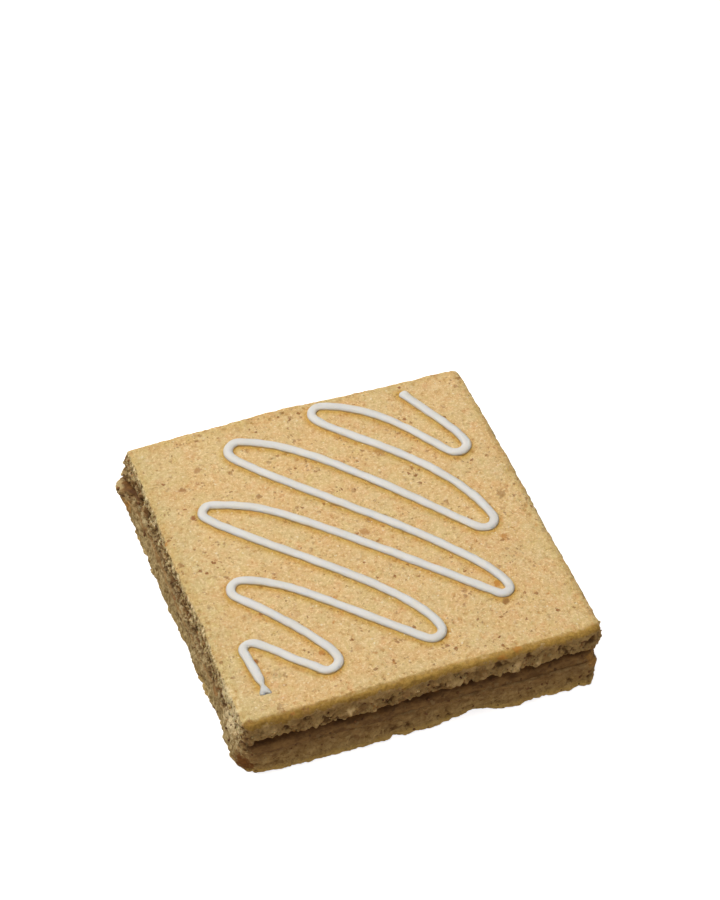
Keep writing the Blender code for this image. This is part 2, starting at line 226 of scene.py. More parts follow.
# ---- Small node-tree helpers ------------------------------------------------------------------
class Tree:
    """A material's node tree, with short calls for the nodes that the finishes share."""

    def __init__(self, name):
        self.material = bpy.data.materials.new(name)
        self.material.use_nodes = True
        self.nodes = self.material.node_tree.nodes
        self.links = self.material.node_tree.links
        self.shader = self.nodes["Principled BSDF"]
        geometry = self.nodes.new("ShaderNodeNewGeometry")
        self.place, self.normal = geometry.outputs["Position"], geometry.outputs["Normal"]

    def put(self, socket, value):
        """Links an output to an input, or sets a plain number or colour on it."""
        if isinstance(value, bpy.types.NodeSocket):
            self.links.new(value, socket)
        else:
            socket.default_value = value

    def attribute(self, name):
        node = self.nodes.new("ShaderNodeAttribute")
        node.attribute_name = name
        return node.outputs["Fac"]

    def axis(self, source, index):
        node = self.nodes.new("ShaderNodeSeparateXYZ")
        self.put(node.inputs[0], source)
        return node.outputs[index]

    def vector(self, operation, first, second):
        node = self.nodes.new("ShaderNodeVectorMath")
        node.operation = operation
        self.put(node.inputs[0], first)
        self.put(node.inputs[1], second)
        return node.outputs["Value" if operation == "DISTANCE" else "Vector"]

    def distance(self, at):
        """How far, in metres, the surface is from a place in millimetres."""
        return self.vector("DISTANCE", self.place, tuple(part * MM for part in at))

    def math(self, operation, first, second):
        node = self.nodes.new("ShaderNodeMath")
        node.operation = operation
        self.put(node.inputs[0], first)
        self.put(node.inputs[1], second)
        return node.outputs[0]

    def plus(self, first, second):
        return self.math("ADD", first, second)

    def times(self, first, second):
        return self.math("MULTIPLY", first, second)

    def ramp(self, value, low, high, to_low=0.0, to_high=1.0):
        """Moves value from one range to another, smoothly and clamped."""
        node = self.nodes.new("ShaderNodeMapRange")
        node.interpolation_type = "SMOOTHSTEP"
        for name, given in (("Value", value), ("From Min", low), ("From Max", high),
                            ("To Min", to_low), ("To Max", to_high)):
            self.put(node.inputs[name], given)
        return node.outputs[0]

    def mm_ramp(self, value, low, high, to_low=0.0, to_high=1.0):
        """The same for a length, with its range in millimetres."""
        return self.ramp(value, low * MM, high * MM, to_low, to_high)

    def moved(self, offset):
        """The place, moved by millimetres, so that two textures of one size differ."""
        if not any(offset):
            return self.place
        return self.vector("ADD", self.place, [part * MM for part in offset])

    def texture(self, scale, detail, rough, where):
        node = self.nodes.new("ShaderNodeTexNoise")
        node.inputs["Scale"].default_value = scale
        node.inputs["Detail"].default_value = detail
        node.inputs["Roughness"].default_value = rough
        self.put(node.inputs["Vector"], where)
        return node.outputs

    def noise(self, size, detail=3.0, rough=0.55, offset=(0.0, 0.0, 0.0)):
        """Noise whose lumps are about size millimetres across, from 0 to 1."""
        return self.texture(1.0 / (size * MM), detail, rough, self.moved(offset))["Fac"]

    def warped(self, size, amount, offset):
        """The place, shaken by noise, so that cells come out with uneven edges."""
        where = self.moved(offset)
        cloud = self.texture(1.0 / (size * MM), 2.0, 0.5, where)["Color"]
        centred = self.vector("SUBTRACT", cloud, (0.5, 0.5, 0.5))
        return self.vector("ADD", where, self.vector("MULTIPLY", centred, (amount * MM,) * 3))

    def cells(self, size, where):
        """Cells about size millimetres across: the distance from each centre, and its chances."""
        node = self.nodes.new("ShaderNodeTexVoronoi")
        node.inputs["Scale"].default_value = 1.0 / (size * MM)
        self.put(node.inputs["Vector"], where)
        split = self.nodes.new("ShaderNodeSeparateColor")
        self.put(split.inputs[0], node.outputs["Color"])
        return node.outputs["Distance"], split.outputs

    def mix(self, factor, first, second, blend="MIX"):
        """Mixes two colours."""
        node = self.nodes.new("ShaderNodeMix")
        node.data_type = "RGBA"
        node.blend_type = blend
        self.put(node.inputs[0], factor)
        for index, value in ((MIX_FIRST, first), (MIX_SECOND, second)):
            self.put(node.inputs[index], (*value, 1.0) if isinstance(value, tuple) else value)
        return node.outputs[MIX_RESULT]

    def shade(self, factor, colour, factors):
        """Multiplies a colour by factors, as far as factor says."""
        return self.mix(factor, colour, factors, "MULTIPLY")

    def bump(self, height, depth, under=None):
        """Bump of so many millimetres, on top of another bump where one is given."""
        node = self.nodes.new("ShaderNodeBump")
        node.inputs["Distance"].default_value = depth * MM
        self.put(node.inputs["Height"], height)
        if under:
            self.put(node.inputs["Normal"], under)
        return node.outputs[0]

    def flecks(self, colour, rows, patches=None):
        """Scatters uneven flecks over a colour; patches thins them out in places."""
        for size, share, tint, seed, strength in rows:
            where = self.warped(size * 0.6, size * 1.1, (seed, 2 * seed, -seed))
            near, chance = self.cells(size, where)
            picked, inside = self.ramp(chance[0], share, share * 0.8), self.ramp(near, 0.40, 0.30)
            depth = self.ramp(chance[1], 0.0, 1.0, 0.35 * strength, strength)
            amount = self.times(self.times(picked, inside), depth)
            if patches:
                amount = self.times(amount, patches)
            colour = self.mix(amount, colour, tint)
        return colour

    def patched(self, colour, patches):
        """Paints ragged patches of other colours."""
        ragged = self.noise(0.9, 4.0, 0.75, (4.0, 4.0, 4.0))
        for at, radius, tint, strength in patches:
            uneven = self.plus(self.distance(at), self.times(ragged, PATCH_RAG * radius * MM))
            amount = self.mm_ramp(uneven, PATCH_OUTER * radius, PATCH_INNER * radius, 0.0, strength)
            colour = self.mix(amount, colour, tint)
        return colour

    def soften(self, weight, radius, scale):
        """Lets light into the surface; scale is in millimetres."""
        self.shader.inputs["Subsurface Weight"].default_value = weight
        self.shader.inputs["Subsurface Radius"].default_value = radius
        self.shader.inputs["Subsurface Scale"].default_value = scale * MM

    def finish(self, colour, roughness, normal, specular):
        self.put(self.shader.inputs["Base Color"], colour)
        self.put(self.shader.inputs["Roughness"], roughness)
        self.put(self.shader.inputs["Normal"], normal)
        self.shader.inputs["Specular IOR Level"].default_value = specular
        return self.material


# ---- Finishes ---------------------------------------------------------------------------------
def crumb_colour(tree):
    """The open crumb of a cut side: fine grit, lumps painted paler as light, pits painted darker as
    shade, spots of painted light and shade on the left side, and painted warm shade at the front.
    """
    relief = tree.attribute("relief")
    tone = tree.noise(2.4, 4.0, 0.65, (1.0, 2.0, 3.0))
    grain = tree.noise(0.6, 4.0, 0.75, (3.0, 0.0, 0.0))
    colour = tree.mix(tree.ramp(tone, 0.38, 0.62), scaled(CRUMB, (0.76, 0.70, 0.60)), CRUMB)
    colour = tree.shade(tree.ramp(grain, 0.47, 0.31, 0.0, 0.85), colour, (0.46, 0.38, 0.28))
    light = tree.ramp(grain, 0.53, 0.70, 0.0, 0.6)
    colour = tree.mix(light, colour, scaled(CRUMB, (1.38, 1.4, 1.55)))
    # painted light: lumps that stand out are paler; painted shade: pits are darker
    lump = tree.ramp(relief, 0.66, 1.0, 0.0, 0.7)
    colour = tree.mix(lump, colour, scaled(CRUMB, (1.35, 1.4, 1.55)))
    colour = tree.shade(tree.ramp(relief, 0.36, 0.06, 0.0, 0.9), colour, (0.30, 0.22, 0.14))
    # painted light and shade: left-facing sides, most of all high up, get extra dark and pale spots
    # for the light from the left
    high = tree.mm_ramp(tree.axis(tree.place, 2), 5.0, 7.5, 0.45, 1.0)
    left = tree.times(tree.ramp(tree.axis(tree.normal, 0), -0.3, -0.8), high)
    coarse = tree.noise(0.95, 4.0, 0.75, (8.0, 1.0, 4.0))
    dark = tree.times(left, tree.ramp(coarse, 0.50, 0.41))
    colour = tree.shade(dark, colour, (0.27, 0.19, 0.10))
    light = tree.times(left, tree.ramp(coarse, 0.53, 0.61, 0.0, 0.9))
    colour = tree.mix(light, colour, scaled(CRUMB, (1.75, 1.85, 2.2)))
    # painted warm shade: front-facing parts, turned away from the light, are painted browner
    front = tree.ramp(tree.axis(tree.normal, 1), -0.2, -0.8)
    return tree.shade(front, colour, (0.98, 0.84, 0.72))


def side_bumps(tree):
    bumps = tree.bump(tree.noise(1.3, 4.0, 0.7), 0.22)
    return tree.bump(tree.noise(0.5, 3.0, 0.75, (0.0, 5.0, 0.0)), 0.2, bumps)


def smear_colour(tree):
    """Filling drawn along a cut side: brown, with fine streaks along the layers."""
    streak = tree.texture(1.0, 4.0, 0.65, tree.vector("MULTIPLY", tree.place, STREAKS))["Fac"]
    dark, light = scaled(JAM, (0.72, 0.66, 0.56)), scaled(JAM, (1.3, 1.36, 1.4))
    return tree.mix(tree.ramp(streak, 0.36, 0.66), dark, light), streak


def face_colour(tree, grain, pores):
    """The baked face: mottled, with paler grains, small pores and a warmer blush in places, painted
    shade in its hollows and the piped line's painted shadow.
    """
    mottle = tree.noise(6.0, 4.0, 0.6)
    blush = tree.noise(2.2, 3.0, 0.6, (0.0, 0.0, 6.0))
    face = tree.mix(tree.ramp(mottle, 0.38, 0.64), FACE, FACE_WARM)
    for value, low, high, strength, tint in (
            (blush, 0.50, 0.72, 0.6, scaled(FACE_WARM, (1.0, 0.86, 0.86))),
            (blush, 0.46, 0.28, 0.6, scaled(FACE, (1.02, 1.06, 0.95))),
            (grain, 0.51, 0.63, 0.85, scaled(FACE, (1.17, 1.24, 1.42)))):
        face = tree.mix(tree.ramp(value, low, high, 0.0, strength), face, tint)
    face = tree.shade(tree.ramp(grain, 0.46, 0.34, 0.0, 0.95), face, (0.74, 0.62, 0.45))
    face = tree.mix(tree.ramp(pores, 0.55, 0.65, 0.0, 0.8), face, scaled(FACE, (1.3, 1.38, 1.6)))
    left = tree.mm_ramp(tree.axis(tree.place, 0), -20, -33)
    face = tree.shade(left, face, (0.93, 0.97, 0.97))
    # painted shade in the face's pores and hollows
    hollow = tree.ramp(tree.attribute("relief"), 0.4, 0.0, 0.0, 0.6)
    face = tree.shade(hollow, face, (0.72, 0.54, 0.34))
    # painted warm shadow of the piped line, falling mostly in front of it
    face = tree.shade(tree.attribute("painted_icing_shadow"), face, (0.82, 0.70, 0.38))
    return tree.flecks(face, PALE_FLECKS)


def shortbread_top():
    """Baked shortbread: a pale mottled face, a rim painted browner at the front as shade, and an
    open crumb at the side.
    """
    tree = Tree("shortbread_top")
    height = tree.axis(tree.place, 2)
    grain = tree.noise(0.7, 4.0, 0.8, (3.0, 0.0, 0.0))
    pores = tree.noise(0.45, 2.0, 0.7, (0.0, 5.0, 0.0))
    face = face_colour(tree, grain, pores)

    # painted shade: the rim's skin is painted browner, and darker towards the left, only where it
    # faces the front
    shaded_rim = tree.mix(tree.ramp(grain, 0.40, 0.60), scaled(RIM_SKIN_IN_SHADE, (0.70, 0.66, 0.55)), RIM_SKIN_IN_SHADE)
    left = tree.mm_ramp(tree.axis(tree.place, 0), 5, -15)
    shaded_rim = tree.shade(left, shaded_rim, (0.82, 0.80, 0.74))
    front = tree.ramp(tree.axis(tree.normal, 1), 0.05, -0.45)
    rim = tree.mix(front, tree.shade(1.0, face, (0.94, 0.93, 0.84)), shaded_rim)

    # filling smeared up over the lower half of the crumb
    smear, _ = smear_colour(tree)
    smeared = tree.ramp(tree.noise(3.6, 4.0, 0.6, (2.0, 7.0, 1.0)), 0.50, 0.60, 0.0, 0.75)
    low = tree.mm_ramp(height, TOP_UNDER + 3.4, TOP_UNDER + 1.4)
    crumb = tree.mix(tree.times(smeared, low), crumb_colour(tree), smear)

    ragged = tree.times(tree.math("SUBTRACT", tree.noise(3.0, 5.0, 0.7), 0.5), 4.5 * MM)
    skin = tree.mm_ramp(tree.plus(height, ragged), TOP_FACE - 1.3, TOP_FACE - 0.75)
    # on the left the skin is rubbed off up to the face
    worn = tree.plus(tree.axis(tree.normal, 0), tree.math("DIVIDE", ragged, 5.0 * MM))
    skin = tree.times(skin, tree.ramp(worn, -0.8, -0.5))
    inside = tree.plus(tree.attribute("inside"), tree.times(tree.noise(1.8, 4.0, 0.6), 0.5))
    upper = tree.mm_ramp(height, TOP_FACE - 1.3, TOP_FACE - 0.2)
    on_face = tree.times(tree.ramp(inside, 0.45, 1.22), upper)
    colour = tree.mix(skin, crumb, tree.mix(on_face, rim, face))

    patches = tree.ramp(tree.noise(4.5, 3.0, 0.6, (9.0, 0.0, 0.0)), 0.42, 0.60, 0.12, 1.0)
    colour = tree.flecks(colour, FACE_FLECKS, patches)
    colour = tree.patched(tree.patched(colour, FACE_PATCHES), SIDE_PATCHES)
    bumps = tree.bump(grain, 0.24, tree.bump(tree.noise(1.6, 4.0, 0.65), 0.16))
    bumps = tree.bump(pores, 0.12, bumps)
    tree.soften(0.2, (1.0, 0.55, 0.2), 0.7)
    return tree.finish(colour, tree.ramp(grain, 0.3, 0.7, 0.72, 0.92), bumps, 0.25)


def shortbread_base():
    """The lower square: crumb below, with filling smeared over the upper part of its side."""
    tree = Tree("shortbread_base")
    height = tree.axis(tree.place, 2)
    smear, streak = smear_colour(tree)
    edge = tree.plus(height, tree.times(tree.noise(2.2, 4.0, 0.65), 5.0 * MM))
    # the left side is nearly free of filling
    facing = tree.ramp(tree.axis(tree.normal, 0), -0.85, -0.35, 0.3, 1.0)
    smeared = tree.times(tree.mm_ramp(edge, 4.6, 8.2, 0.0, 0.8), facing)
    streaked = tree.ramp(streak, 0.48, 0.34, 0.0, 0.6)
    crumb = tree.shade(streaked, crumb_colour(tree), (0.66, 0.58, 0.48))
    colour = tree.mix(smeared, crumb, smear)
    # painted light from the floor: paler near the ground, most of all at the front
    front = tree.ramp(tree.axis(tree.normal, 1), -0.2, -0.7, 0.25, 0.85)
    low = tree.times(tree.mm_ramp(height, 2.2, 0.2), front)
    colour = tree.mix(low, colour, scaled(CRUMB, (1.7, 1.5, 1.0)))
    grain = tree.noise(0.7, 4.0, 0.75, (6.0, 0.0, 2.0))
    colour = tree.shade(tree.ramp(grain, 0.46, 0.31, 0.0, 0.8), colour, (0.56, 0.46, 0.34))
    light = tree.ramp(grain, 0.54, 0.70, 0.0, 0.35)
    colour = tree.mix(light, colour, scaled(CRUMB, (1.15, 1.12, 1.1)))
    colour = tree.patched(tree.flecks(colour, BASE_FLECKS), SIDE_PATCHES)
    return tree.finish(colour, tree.ramp(smeared, 0.0, 0.8, 0.9, 0.7), side_bumps(tree), 0.2)


def jam_finish():
    tree = Tree("jam_filling")
    colour, streak = smear_colour(tree)
    # the left side is crumbled over; elsewhere the filling is painted darker up into the crease, as
    # shade under the overhanging top layer
    left = tree.ramp(tree.axis(tree.normal, 0), -0.45, -0.85, 0.0, 0.8)
    colour = tree.flecks(tree.mix(left, colour, crumb_colour(tree)), JAM_FLECKS)
    crease = tree.plus(tree.axis(tree.place, 2), tree.times(tree.noise(2.5, 3.0), 1.6 * MM))
    colour = tree.shade(tree.mm_ramp(crease, 7.1, 8.4), colour, (0.50, 0.38, 0.20))
    colour = tree.patched(colour, SIDE_PATCHES)
    return tree.finish(colour, tree.ramp(streak, 0.3, 0.7, 0.55, 0.75), side_bumps(tree), 0.25)


def icing_finish():
    tree = Tree("icing_white")
    tone = tree.noise(5.0, 2.0)
    colour = tree.mix(tree.ramp(tone, 0.35, 0.65), scaled(ICING, 0.95), ICING)
    # painted warm shade at the bead's thin foot, partly the warm face showing through it; less of
    # it at the torn end
    skirt = tree.mm_ramp(tree.axis(tree.place, 2), TOP_FACE + 0.34, TOP_FACE + 0.10)
    away = tree.mm_ramp(tree.distance((*ICING_END, TOP_FACE)), 1.4, 2.6, 0.25, 1.0)
    colour = tree.shade(tree.times(skirt, away), colour, (0.95, 0.70, 0.36))
    bumps = tree.bump(tree.noise(0.8, 3.0), 0.05)
    tree.soften(0.85, (1.0, 0.85, 0.65), 3.2)
    return tree.finish(colour, tree.ramp(tone, 0.3, 0.7, 0.5, 0.62), bumps, 0.35)


def crumb_bits_finish():
    tree = Tree("loose_crumb")
    return tree.finish(crumb_colour(tree), 0.9, side_bumps(tree), 0.2)


def nut_bits_finish():
    tree = Tree("nut_bits")
    tone = tree.noise(0.9, 3.0, 0.6)
    colour = tree.mix(tree.ramp(tone, 0.38, 0.62), scaled(NUT_BIT, 0.6), scaled(NUT_BIT, 1.5))
    return tree.finish(colour, tree.ramp(tone, 0.3, 0.7, 0.8, 0.92), tree.bump(tone, 0.1), 0.2)


# ---- Relief -----------------------------------------------------------------------------------
def shaken(place, size):
    """The place, shaken by noise of a size, so that cells come out uneven."""
    return place + SHAKE * noise.noise_vector(place / size)


def holes(place, reach, share, scramble):
    """Round holes in a share of the cells: 1 in the middle of a hole and 0 outside it."""
    far, centres = noise.voronoi(place)
    return max(1.0 - far[0] / reach, 0.0) if noise.cell(centres[0] * scramble) < share else 0.0


def crumbs(place):
    """Height of the crumbly side at a place: round bumps between pits, and finer grit."""
    near = noise.voronoi(shaken(place, CRUMB_SHAKE) / CRUMB_SIZE)[0][0]
    grit = noise.noise(place / GRIT_SIZE + Vector((7.0, 3.0, 1.0)))
    return CRUMB_DEPTH * (0.55 - near) + GRIT_DEPTH * grit


def fine_crumbs(place):
    """The crumb below the size that the solids carry: lumps with cracks, grains, deep holes."""
    moved = shaken(place, LUMP_SHAKE)
    near = noise.voronoi(moved / LUMP_SIZE + Vector((5.0, 5.0, 5.0)))[0]
    gap = max(1.0 - (near[1] - near[0]) / GAP_SHARE, 0.0)
    hole = holes(moved / PIT_SIZE + Vector((2.0, 8.0, 4.0)), PIT_REACH, PIT_SHARE, 7.3)
    grain = noise.noise(place / GRAIN_SIZE) + 0.5 * noise.noise(place / GRAIN_SIZE * 2.1)
    return LUMP_DEPTH * (0.5 - near[0]) + GRAIN_DEPTH * grain - GAP_DEPTH * gap - PIT_DEPTH * hole


def marks(place):
    """The single lumps and holes."""
    total = 0.0
    for at, reach, out in MARKS:
        far = (place - Vector(at)).length / reach
        if far < MARK_FADE:
            total += out * math.exp(-far * far)
    return total


def wander(place):
    return WANDER_DEPTH * noise.noise(place / WANDER_SIZE)


def bulges(place, table=BULGES):
    """Smooth bulges and hollows that fade out within their reach."""
    return sum(out * math.exp(-((place - Vector(at)).length / reach) ** 2)
               for at, reach, out in table)


def nicks(place, away):
    """How far the lower front edge is broken away at a place."""
    broken = sum(deep * math.exp(-((place.x - x) / half) ** 2) for x, half, deep in NICKS)
    return broken * max(-away.y, 0.0) * max(1.0 - place.z / NICK_HEIGHT, 0.0)


def top_wave(place):
    return TOP_WAVE * (noise.noise(place / 9.0) + 0.5 * noise.noise(place / 3.5))


def face_relief(place):
    """Small pores and grains of the top face."""
    pore = holes(place / PORE_SIZE + Vector((3.0, 3.0, 0.0)), PORE_REACH, PORE_SHARE, 5.1)
    grain = 0.08 * noise.noise(place / PORE_SIZE) + 0.05 * noise.noise(place / 0.65)
    return grain - PORE_DEPTH * pore


def relief_level(out):
    """How far a point stands out, as 0 for a pit, 0.5 for the mean and 1 for a lump."""
    return clamped(0.5 + out / RELIEF_SPAN)


# Each shape moves a point of a smooth side outward and up. rough says how much of the crumb it
# gets and jag how ragged its edge is. It gives the new place and the relief's level.
def shape_top(place, away, rough, jag):
    crumb = crumbs(place) + fine_crumbs(place) + marks(place)
    lift = jag * EDGE_JAG * (noise.noise(place / 2.3 + Vector((0, 9, 0))) - 0.15)
    lift += jag * FINE_JAG * noise.noise(place / 0.9)
    upper = clamped((place.z - (TOP_FACE - RIM)) / RIM)
    fine = face_relief(place)
    lift += upper * (top_wave(place) + fine)
    out = rough * (crumb + 0.5 * bulges(place)) + wander(place)
    level = relief_level(rough * (crumb - 0.05) + upper * 3.0 * fine)
    return place + away * out + Vector((0, 0, lift)), level


def shape_base(place, away, rough, jag):
    crumb = crumbs(place) + 0.6 * fine_crumbs(place)
    out = rough * crumb + max(rough, 0.7) * bulges(place) + wander(place) - nicks(place, away)
    out += bulges(place, BASE_WEAR)
    lean = BASE_TAPER * max(away.x, 0.0) * (1.0 - place.z / BASE_TOP)
    lift = jag * max(0.0, 0.2 * noise.noise(place / 3.0) + BASE_JAG * noise.noise(place / 0.8))
    moved = place + away * (out - lean) + Vector((0, 0, lift))
    moved.z = max(moved.z, 0.0)
    return moved, relief_level(rough * (crumb - 0.05))


def shape_fill(place, away, rough, jag):
    crumb = 0.35 * noise.noise(place / 4.0) + jag * 0.5 * fine_crumbs(place)
    crumb += jag * max(-away.x, 0.0) * 0.8 * (crumbs(place) + fine_crumbs(place) - 0.1)
    return place + away * (wander(place) + rough * (crumb + bulges(place))), relief_level(crumb)


# ---- Squares ----------------------------------------------------------------------------------
def pulled(plan, flat):
    """Moves a point of the true rectangle with the corners near it, and with the back's bow."""
    right = (flat.x - plan["middle"][0]) / plan["width"] + 0.5
    back = (flat.y - plan["middle"][1]) / plan["depth"] + 0.5
    shares = (right * back, (1 - right) * back, (1 - right) * (1 - back), right * (1 - back))
    for share, pull in zip(shares, plan["pulls"]):
        flat = flat + share * Vector(pull)
    far = (flat.x - BACK_BOW["at"]) / BACK_BOW["reach"]
    return flat + Vector((0.0, BACK_BOW["out"] * max(back, 0.0) ** 2 * math.exp(-far * far)))


def rounded(plan, x, y):
    """Bends a point of a sharp rectangle to the rounded one, and gives its outward normal."""
    half_x, half_y = plan["width"] / 2, plan["depth"] / 2
    sign_x, sign_y = (1 if x >= 0 else -1), (1 if y >= 0 else -1)
    corner = {(1, 1): 0, (-1, 1): 1, (-1, -1): 2, (1, -1): 3}[sign_x, sign_y]
    radius = plan["radii"][corner]
    over_x, over_y = abs(x) - (half_x - radius), abs(y) - (half_y - radius)
    if over_x > 0 and over_y > 0:
        if over_x >= over_y:
            angle = math.pi / 4 * over_y / over_x
        else:
            angle = math.pi / 2 - math.pi / 4 * over_x / over_y
        reach = max(over_x, over_y)
        away = Vector((math.cos(angle), math.sin(angle)))
        flat = Vector((half_x - radius, half_y - radius)) + away * reach
    else:
        flat = Vector((abs(x), abs(y)))
        beside = half_x - abs(x) < half_y - abs(y)
        away = Vector((1.0, 0.0)) if beside else Vector((0.0, 1.0))
    flat = Vector((flat.x * sign_x + plan["middle"][0], flat.y * sign_y + plan["middle"][1]))
    return pulled(plan, flat), Vector((away.x * sign_x, away.y * sign_y, 0.0))


def border(columns, lines):
    """The lattice places round a rectangle, counterclockwise from its back right corner."""
    loop = [(columns - i, lines) for i in range(columns)]
    loop += [(0, lines - j) for j in range(lines)]
    loop += [(i, 0) for i in range(columns)]
    loop += [(columns, j) for j in range(lines)]
    return loop


def smooth(a, b, c, d, f):
    """The curve through four even values, at f on the way from b to c."""
    return 0.5 * (2 * b + (c - a) * f + (2 * a - 5 * b + 4 * c - d) * f * f
                  + (3 * b - a - 3 * c + d) * f ** 3)


def blended(profile, t):
    """The profile's values at t, counted in its rows, on a smooth curve through them."""
    last = len(profile) - 1
    k = min(int(t), last - 1)
    rows = [profile[min(max(k + step, 0), last)] for step in (-1, 0, 1, 2)]
    return [smooth(*values, t - k) for values in zip(*rows)]


def square(name, plan, profile, shape, step, open_face):
    """A square's mesh. profile lists (inset, height, roughness, jag) from the under face to the
    upper one; rings are made at about the same spacing as the points round the side. With
    open_face the upper face is a full lattice."""
    columns, lines = round(plan["width"] / step), round(plan["depth"] / step)
    loop = border(columns, lines)
    mesh = bmesh.new()
    relief = mesh.verts.layers.float.new("relief")

    def add(i, j, inset, height, rough, jag):
        wide, deep = plan["width"] / 2 - inset, plan["depth"] / 2 - inset
        flat, away = rounded(plan, wide * (2 * i / columns - 1), deep * (2 * j / lines - 1))
        place, level = shape(Vector((flat.x, flat.y, height)), away, rough, jag)
        vert = mesh.verts.new(place * MM)
        vert[relief] = level
        return vert

    stops = []
    for row, (low, high) in enumerate(zip(profile, profile[1:])):
        count = max(1, round(math.hypot(high[0] - low[0], high[1] - low[1]) / step))
        stops += [row + k / count for k in range(count)]
    stops.append(len(profile) - 1)
    rings = [[add(i, j, *blended(profile, t)) for i, j in loop] for t in stops]
    join(mesh, rings)
    fan(mesh, rings[0])
    if open_face:
        lattice = dict(zip(loop, rings[-1]))
        for i in range(1, columns):
            for j in range(1, lines):
                lattice[i, j] = add(i, j, *profile[-1][:2], 0.0, 0.0)
        for i in range(columns):
            for j in range(lines):
                ring = ((i, j), (i + 1, j), (i + 1, j + 1), (i, j + 1))
                mesh.faces.new([lattice[at] for at in ring])
    else:
        fan(mesh, rings[-1])
    bmesh.ops.recalc_face_normals(mesh, faces=mesh.faces)
    return placed(mesh, name)


def join(mesh, rings):
    """Faces between each ring and the next."""
    for low, high in zip(rings, rings[1:]):
        for k in range(len(low)):
            n = (k + 1) % len(low)
            mesh.faces.new((low[k], low[n], high[n], high[k]))


def fan(mesh, ring):
    """Closes a hidden face from its middle."""
    middle = mesh.verts.new(sum((v.co for v in ring), Vector()) / len(ring))
    for a, b in zip(ring, ring[1:] + ring[:1]):
        mesh.faces.new((a, b, middle))


def placed(mesh, name):
    data = bpy.data.meshes.new(name)
    mesh.to_mesh(data)
    mesh.free()
    data.shade_smooth()
    piece = bpy.data.objects.new(name, data)
    bpy.context.scene.collection.objects.link(piece)
    return piece


def make_top():
    diagonal = RIM * (1 - math.sqrt(0.5))
    profile = (
        (1.5, TOP_UNDER, 0.0, 0.0), (0.7, TOP_UNDER, 0.5, 0.6), (0.25, TOP_UNDER + 0.1, 1.0, 1.0),
        (0.0, TOP_UNDER + 0.7, 1.0, 0.5), (0.1, TOP_UNDER + 1.4, 1.0, 0.0),
        (0.2, TOP_UNDER + 2.4, 1.0, 0.0), (0.2, TOP_FACE - RIM - 0.4, 0.8, 0.0),
        (0.0, TOP_FACE - RIM + 0.1, 0.35, 0.0), (diagonal, TOP_FACE - diagonal, 0.25, 0.0),
        (RIM, TOP_FACE, 0.0, 0.0),
    )
    piece = square("top_crust", TOP_PLAN, profile, shape_top, FACE_STEP, True)
    mark_face(piece)
    piece.data.materials.append(shortbread_top())
    return piece


def mark_face(piece):
    """Notes on the face where the piped line's painted shadow falls, mostly in front of the line,
    and how far inside the square's border a point lies."""
    path = icing_path()[:-UNSHADOWED_END_STATIONS]
    tree = kdtree.KDTree(len(path))
    for k, at in enumerate(path):
        tree.insert((at.x, at.y, TOP_FACE), k)
    tree.balance()
    shift = Vector((*ICING_SHADOW_SHIFT, 0.0))
    middle, half_x, half_y = TOP_PLAN["middle"], TOP_PLAN["width"] / 2, TOP_PLAN["depth"] / 2
    near, inside = [], []
    for vert in piece.data.vertices:
        far = tree.find(vert.co / MM + shift)[2] - BEAD_WIDTH / 2
        near.append(clamped(1.0 - far / ICING_SHADOW_REACH))
        beside, behind = abs(vert.co.x / MM - middle[0]), abs(vert.co.y / MM - middle[1])
        inside.append(clamped(min(half_x - beside, half_y - behind) / RIM_REACH))
    for name, values in (("painted_icing_shadow", near), ("inside", inside)):
        piece.data.attributes.new(name, "FLOAT", "POINT").data.foreach_set("value", values)


def make_base():
    profile = (
        (1.7, 0.0, 0.0, 0.0), (0.25, 0.0, 0.6, 1.0), (0.05, 1.0, 0.85, 0.0),
        (0.0, 2.2, 0.8, 0.0), (0.1, 3.5, 0.7, 0.0), (0.25, 4.6, 0.6, 0.0),
        (0.35, BASE_TOP, 0.5, 0.0), (1.2, BASE_TOP + 0.1, 0.0, 0.0),
    )
    piece = square("bottom_crust", BASE_PLAN, profile, shape_base, BASE_STEP, False)
    piece.data.materials.append(shortbread_base())
    return piece


def make_filling():
    low, high = BASE_TOP - 0.15, TOP_UNDER + 0.1
    profile = (
        (0.8, low, 0.6, 0.0), (-0.15, low + 0.05, 0.9, 0.6), (-0.1, low + 0.9, 1.0, 1.0),
        (0.4, low + 1.7, 0.9, 1.0), (1.3, high - 0.4, 0.7, 1.0), (2.2, high, 0.4, 0.0),
    )
    piece = square("jam_layer", FILL_PLAN, profile, shape_fill, JAM_STEP, False)
    piece.data.materials.append(jam_finish())
    return piece


# ---- The icing --------------------------------------------------------------------------------
def heading(degrees):
    return Vector((math.cos(math.radians(degrees)), math.sin(math.radians(degrees))))


def swing(start, out, out_reach, end, into, in_reach):
    """Points on the line from one bend to the next, without its last one."""
    first, last = start + heading(out) * out_reach, end - heading(into) * in_reach
    for k in range(RUN_STATIONS):
        t = k / RUN_STATIONS
        yield (start * (1 - t) ** 3 + first * 3 * t * (1 - t) ** 2
               + last * 3 * t * t * (1 - t) + end * t ** 3)


def icing_path():
    """The piped line in plan; bends turn right and left by turns."""
    points = []
    here, out, out_reach = Vector(ICING_START), ICING_START_HEADING, ICING_START_REACH
    for row, (x, y, radius, into, leave, in_reach, leave_reach) in enumerate(BENDS):
        turn = 1 if row % 2 else -1
        centre = Vector((x, y))
        enter = centre + heading(into - 90 * turn) * radius
        points.extend(swing(here, out, out_reach, enter, into, in_reach))
        sweep = ((leave - into) * turn) % 360
        for k in range(BEND_STATIONS):
            angle = into - 90 * turn + turn * sweep * k / BEND_STATIONS
            points.append(centre + heading(angle) * radius)
        here = centre + heading(leave - 90 * turn) * radius
        out, out_reach = leave, leave_reach
    end = Vector(ICING_END)
    points.extend(swing(here, out, out_reach, end, ICING_END_HEADING, ICING_END_REACH))
    points.append(end)
    return [point + Vector(ICING_SHIFT) for point in points]


